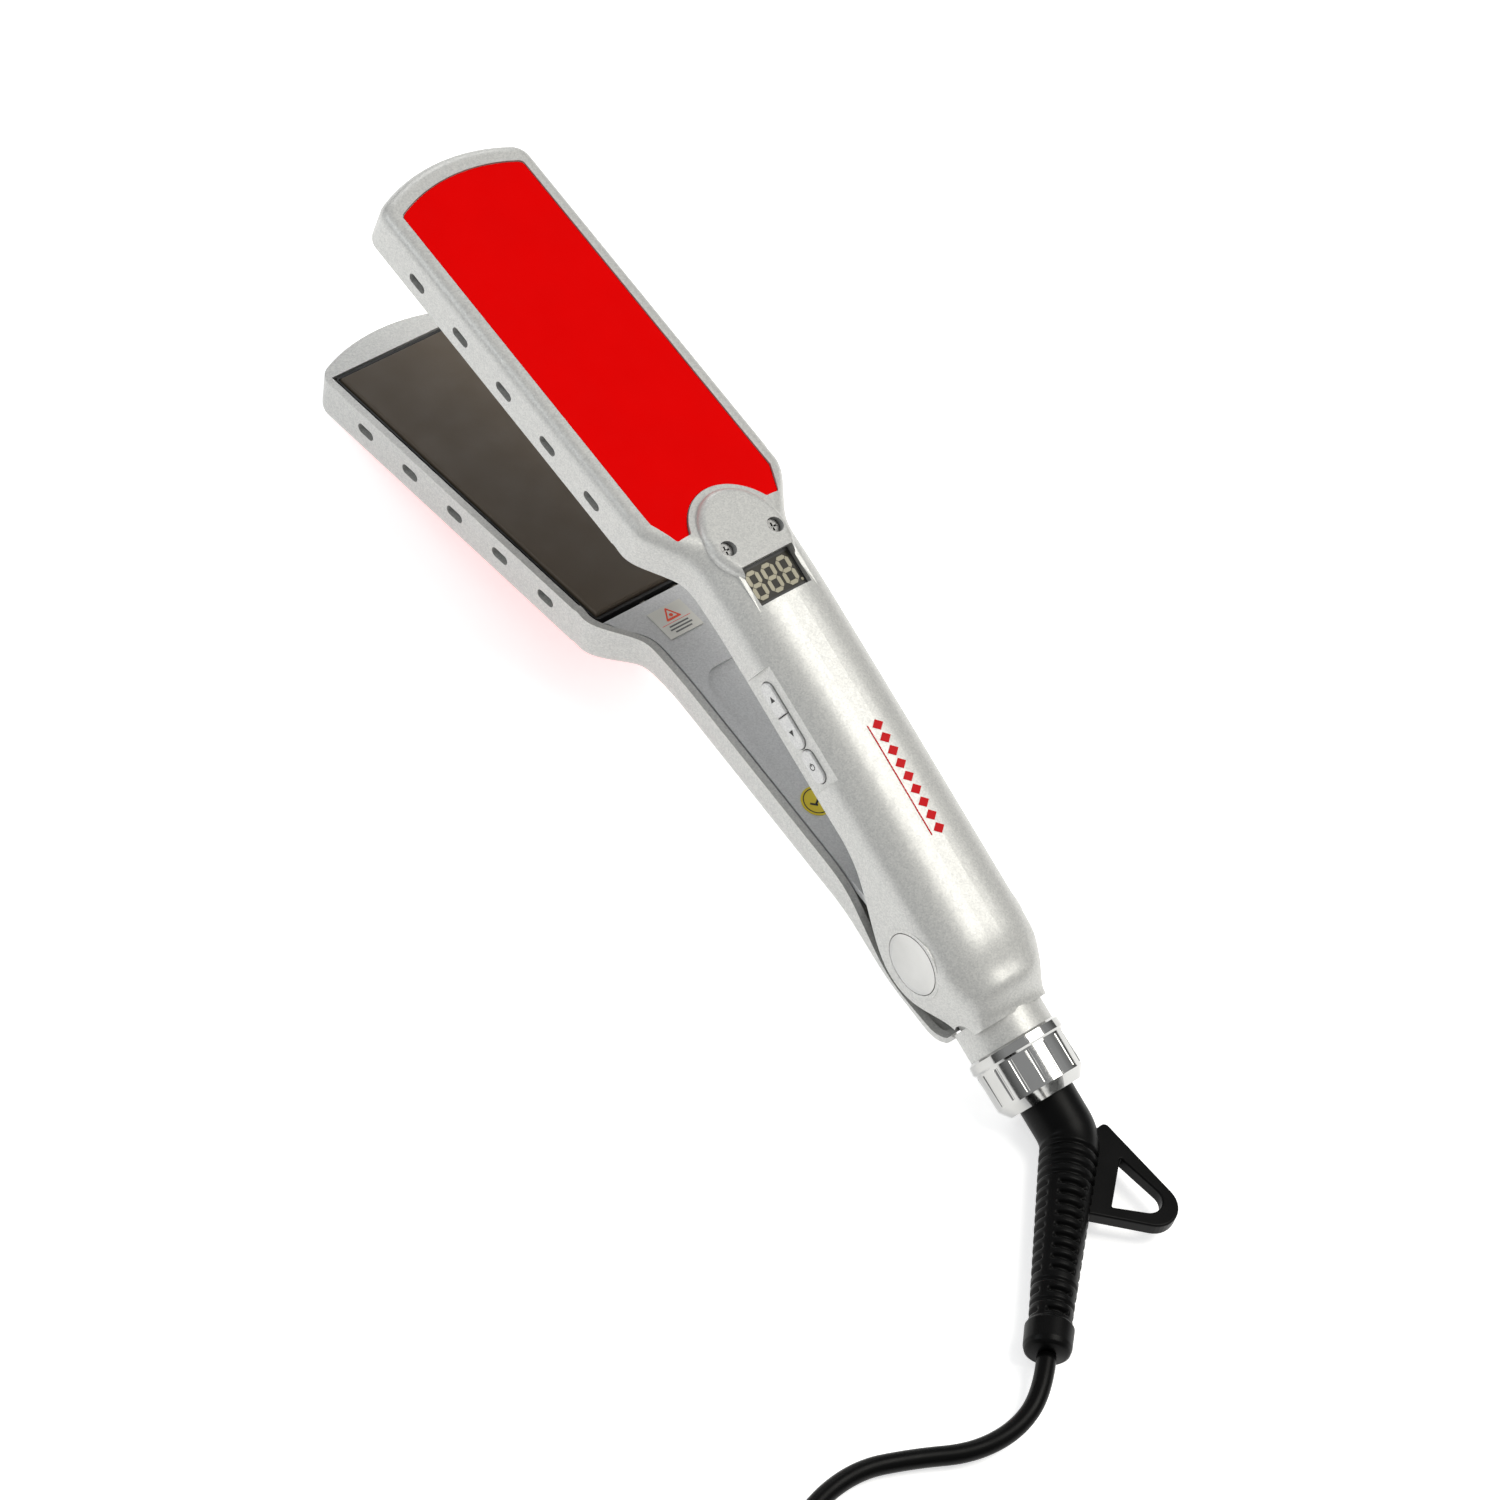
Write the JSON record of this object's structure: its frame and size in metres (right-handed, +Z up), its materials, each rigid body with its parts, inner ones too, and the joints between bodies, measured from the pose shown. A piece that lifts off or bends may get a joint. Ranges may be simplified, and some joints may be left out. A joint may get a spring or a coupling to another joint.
{
  "type": "flat iron",
  "caption": "Wide-plate hair straightener with hinged arms, opening spring, display, push buttons, and a swivel cord boot with mains cord and plug.",
  "frame": {"origin": "bottom centre of the iron's bounding box, without the cord and what is on it", "axes": "+X towards the cord end, the heads point to -X; +Z up; the buttons are on the -Y side"},
  "size_m": [0.5133, 0.1962, 0.0912],
  "materials": {
    "silver_shell": "satin metallic silver paint on plastic",
    "silver_cover": "matt silver-grey plastic",
    "red_inlay": "high gloss red",
    "titanium_plate": "smooth taupe ceramic-titanium coating",
    "carrier_black": "matt black heat-resistant plastic",
    "heater_ceramic": "pressed ceramic",
    "insulator_film": "amber film",
    "silicone": "soft silicone",
    "sensor_glass": "glass-sealed component",
    "chrome": "polished",
    "steel": "plain steel",
    "bush_plastic": "white acetal",
    "label_paper": "matt printed label",
    "sticker_paper": "matt yellow sticker",
    "window_lens": "dark tinted clear plastic",
    "display": "dark olive liquid crystal",
    "board": "green solder mask",
    "components": "black moulded components",
    "button_silver": "satin silver",
    "wire_sleeve": "glass-fibre sleeving",
    "black_rubber": "matt black PVC",
    "plug_black": "satin black moulded plastic",
    "nickel": "nickel-plated brass",
    "tie_black": "coated wire tie"
  },
  "bodies": {
    "upper_arm": {"upper_shell": "silver_shell", "hinge_pin": "steel", "hinge_cap_near": "chrome", "hinge_cap_far": "chrome", "thermistor": "sensor_glass", "upper_inner_cover": "silver_cover", "display_lens": "window_lens", "display_module": "display", "display_holder": "carrier_black", "control_board": "board", "board_parts": "components", "button_switches": "components", "shell_screws": "steel", "neck": "silver_shell", "collar": "chrome", "swivel_bush": "bush_plastic", "mains_leads": "wire_sleeve", "heater_leads": "wire_sleeve", "power_cord": "black_rubber", "cord_tail": "black_rubber", "cord_coil": "black_rubber", "cord_tie": "tie_black", "plug_relief": "black_rubber", "plug_body": "plug_black", "plug_pins": "nickel", "upper_panel": "red_inlay", "upper_plate": "titanium_plate", "upper_plate_carrier": "carrier_black", "upper_heaters": "heater_ceramic", "upper_insulator": "insulator_film", "upper_plate_cushions": "silicone"},
    "lower_arm": {"lower_shell": "silver_shell", "lower_inner_cover": "silver_cover", "lower_leads": "wire_sleeve", "lower_panel": "red_inlay", "lower_plate": "titanium_plate", "lower_plate_carrier": "carrier_black", "lower_heaters": "heater_ceramic", "lower_insulator": "insulator_film", "lower_plate_cushions": "silicone", "hinge_bushes": "bush_plastic", "thermal_fuse": "steel", "warning_label": "label_paper", "check_sticker": "sticker_paper", "opening_spring": "steel"},
    "button_up": {"button_up": "button_silver"},
    "button_down": {"button_down": "button_silver"},
    "button_power": {"button_power": "button_silver"},
    "cord_boot": {"cord_boot": "black_rubber"}
  },
  "joints": [
    {"name": "arm_hinge", "type": "hinge", "parent": "upper_arm", "child": "lower_arm", "pos_m": [0.10114, 0, 0.02925], "axis": [0, 1, 0], "range_deg": [0, 14.4], "stiffness_Nm_per_rad": 1.5, "springref_deg": -28.65, "deforming": ["opening_spring"]},
    {"name": "button_up_press", "type": "slide", "parent": "upper_arm", "child": "button_up", "axis": [-0.0504, 0.988, -0.1459], "range_m": [0, 0.0005], "stiffness_N_per_m": 1500, "springref_m": -0.0003},
    {"name": "button_down_press", "type": "slide", "parent": "upper_arm", "child": "button_down", "axis": [-0.0504, 0.988, -0.1459], "range_m": [0, 0.0005], "stiffness_N_per_m": 1500, "springref_m": -0.0003},
    {"name": "button_power_press", "type": "slide", "parent": "upper_arm", "child": "button_power", "axis": [-0.0504, 0.988, -0.1459], "range_m": [0, 0.0005], "stiffness_N_per_m": 1500, "springref_m": -0.0003},
    {"name": "cord_swivel", "type": "hinge", "parent": "upper_arm", "child": "cord_boot", "pos_m": [0.13809, 0, 0.01372], "axis": [0.9451, 0, -0.3267], "continuous": true}
  ]
}
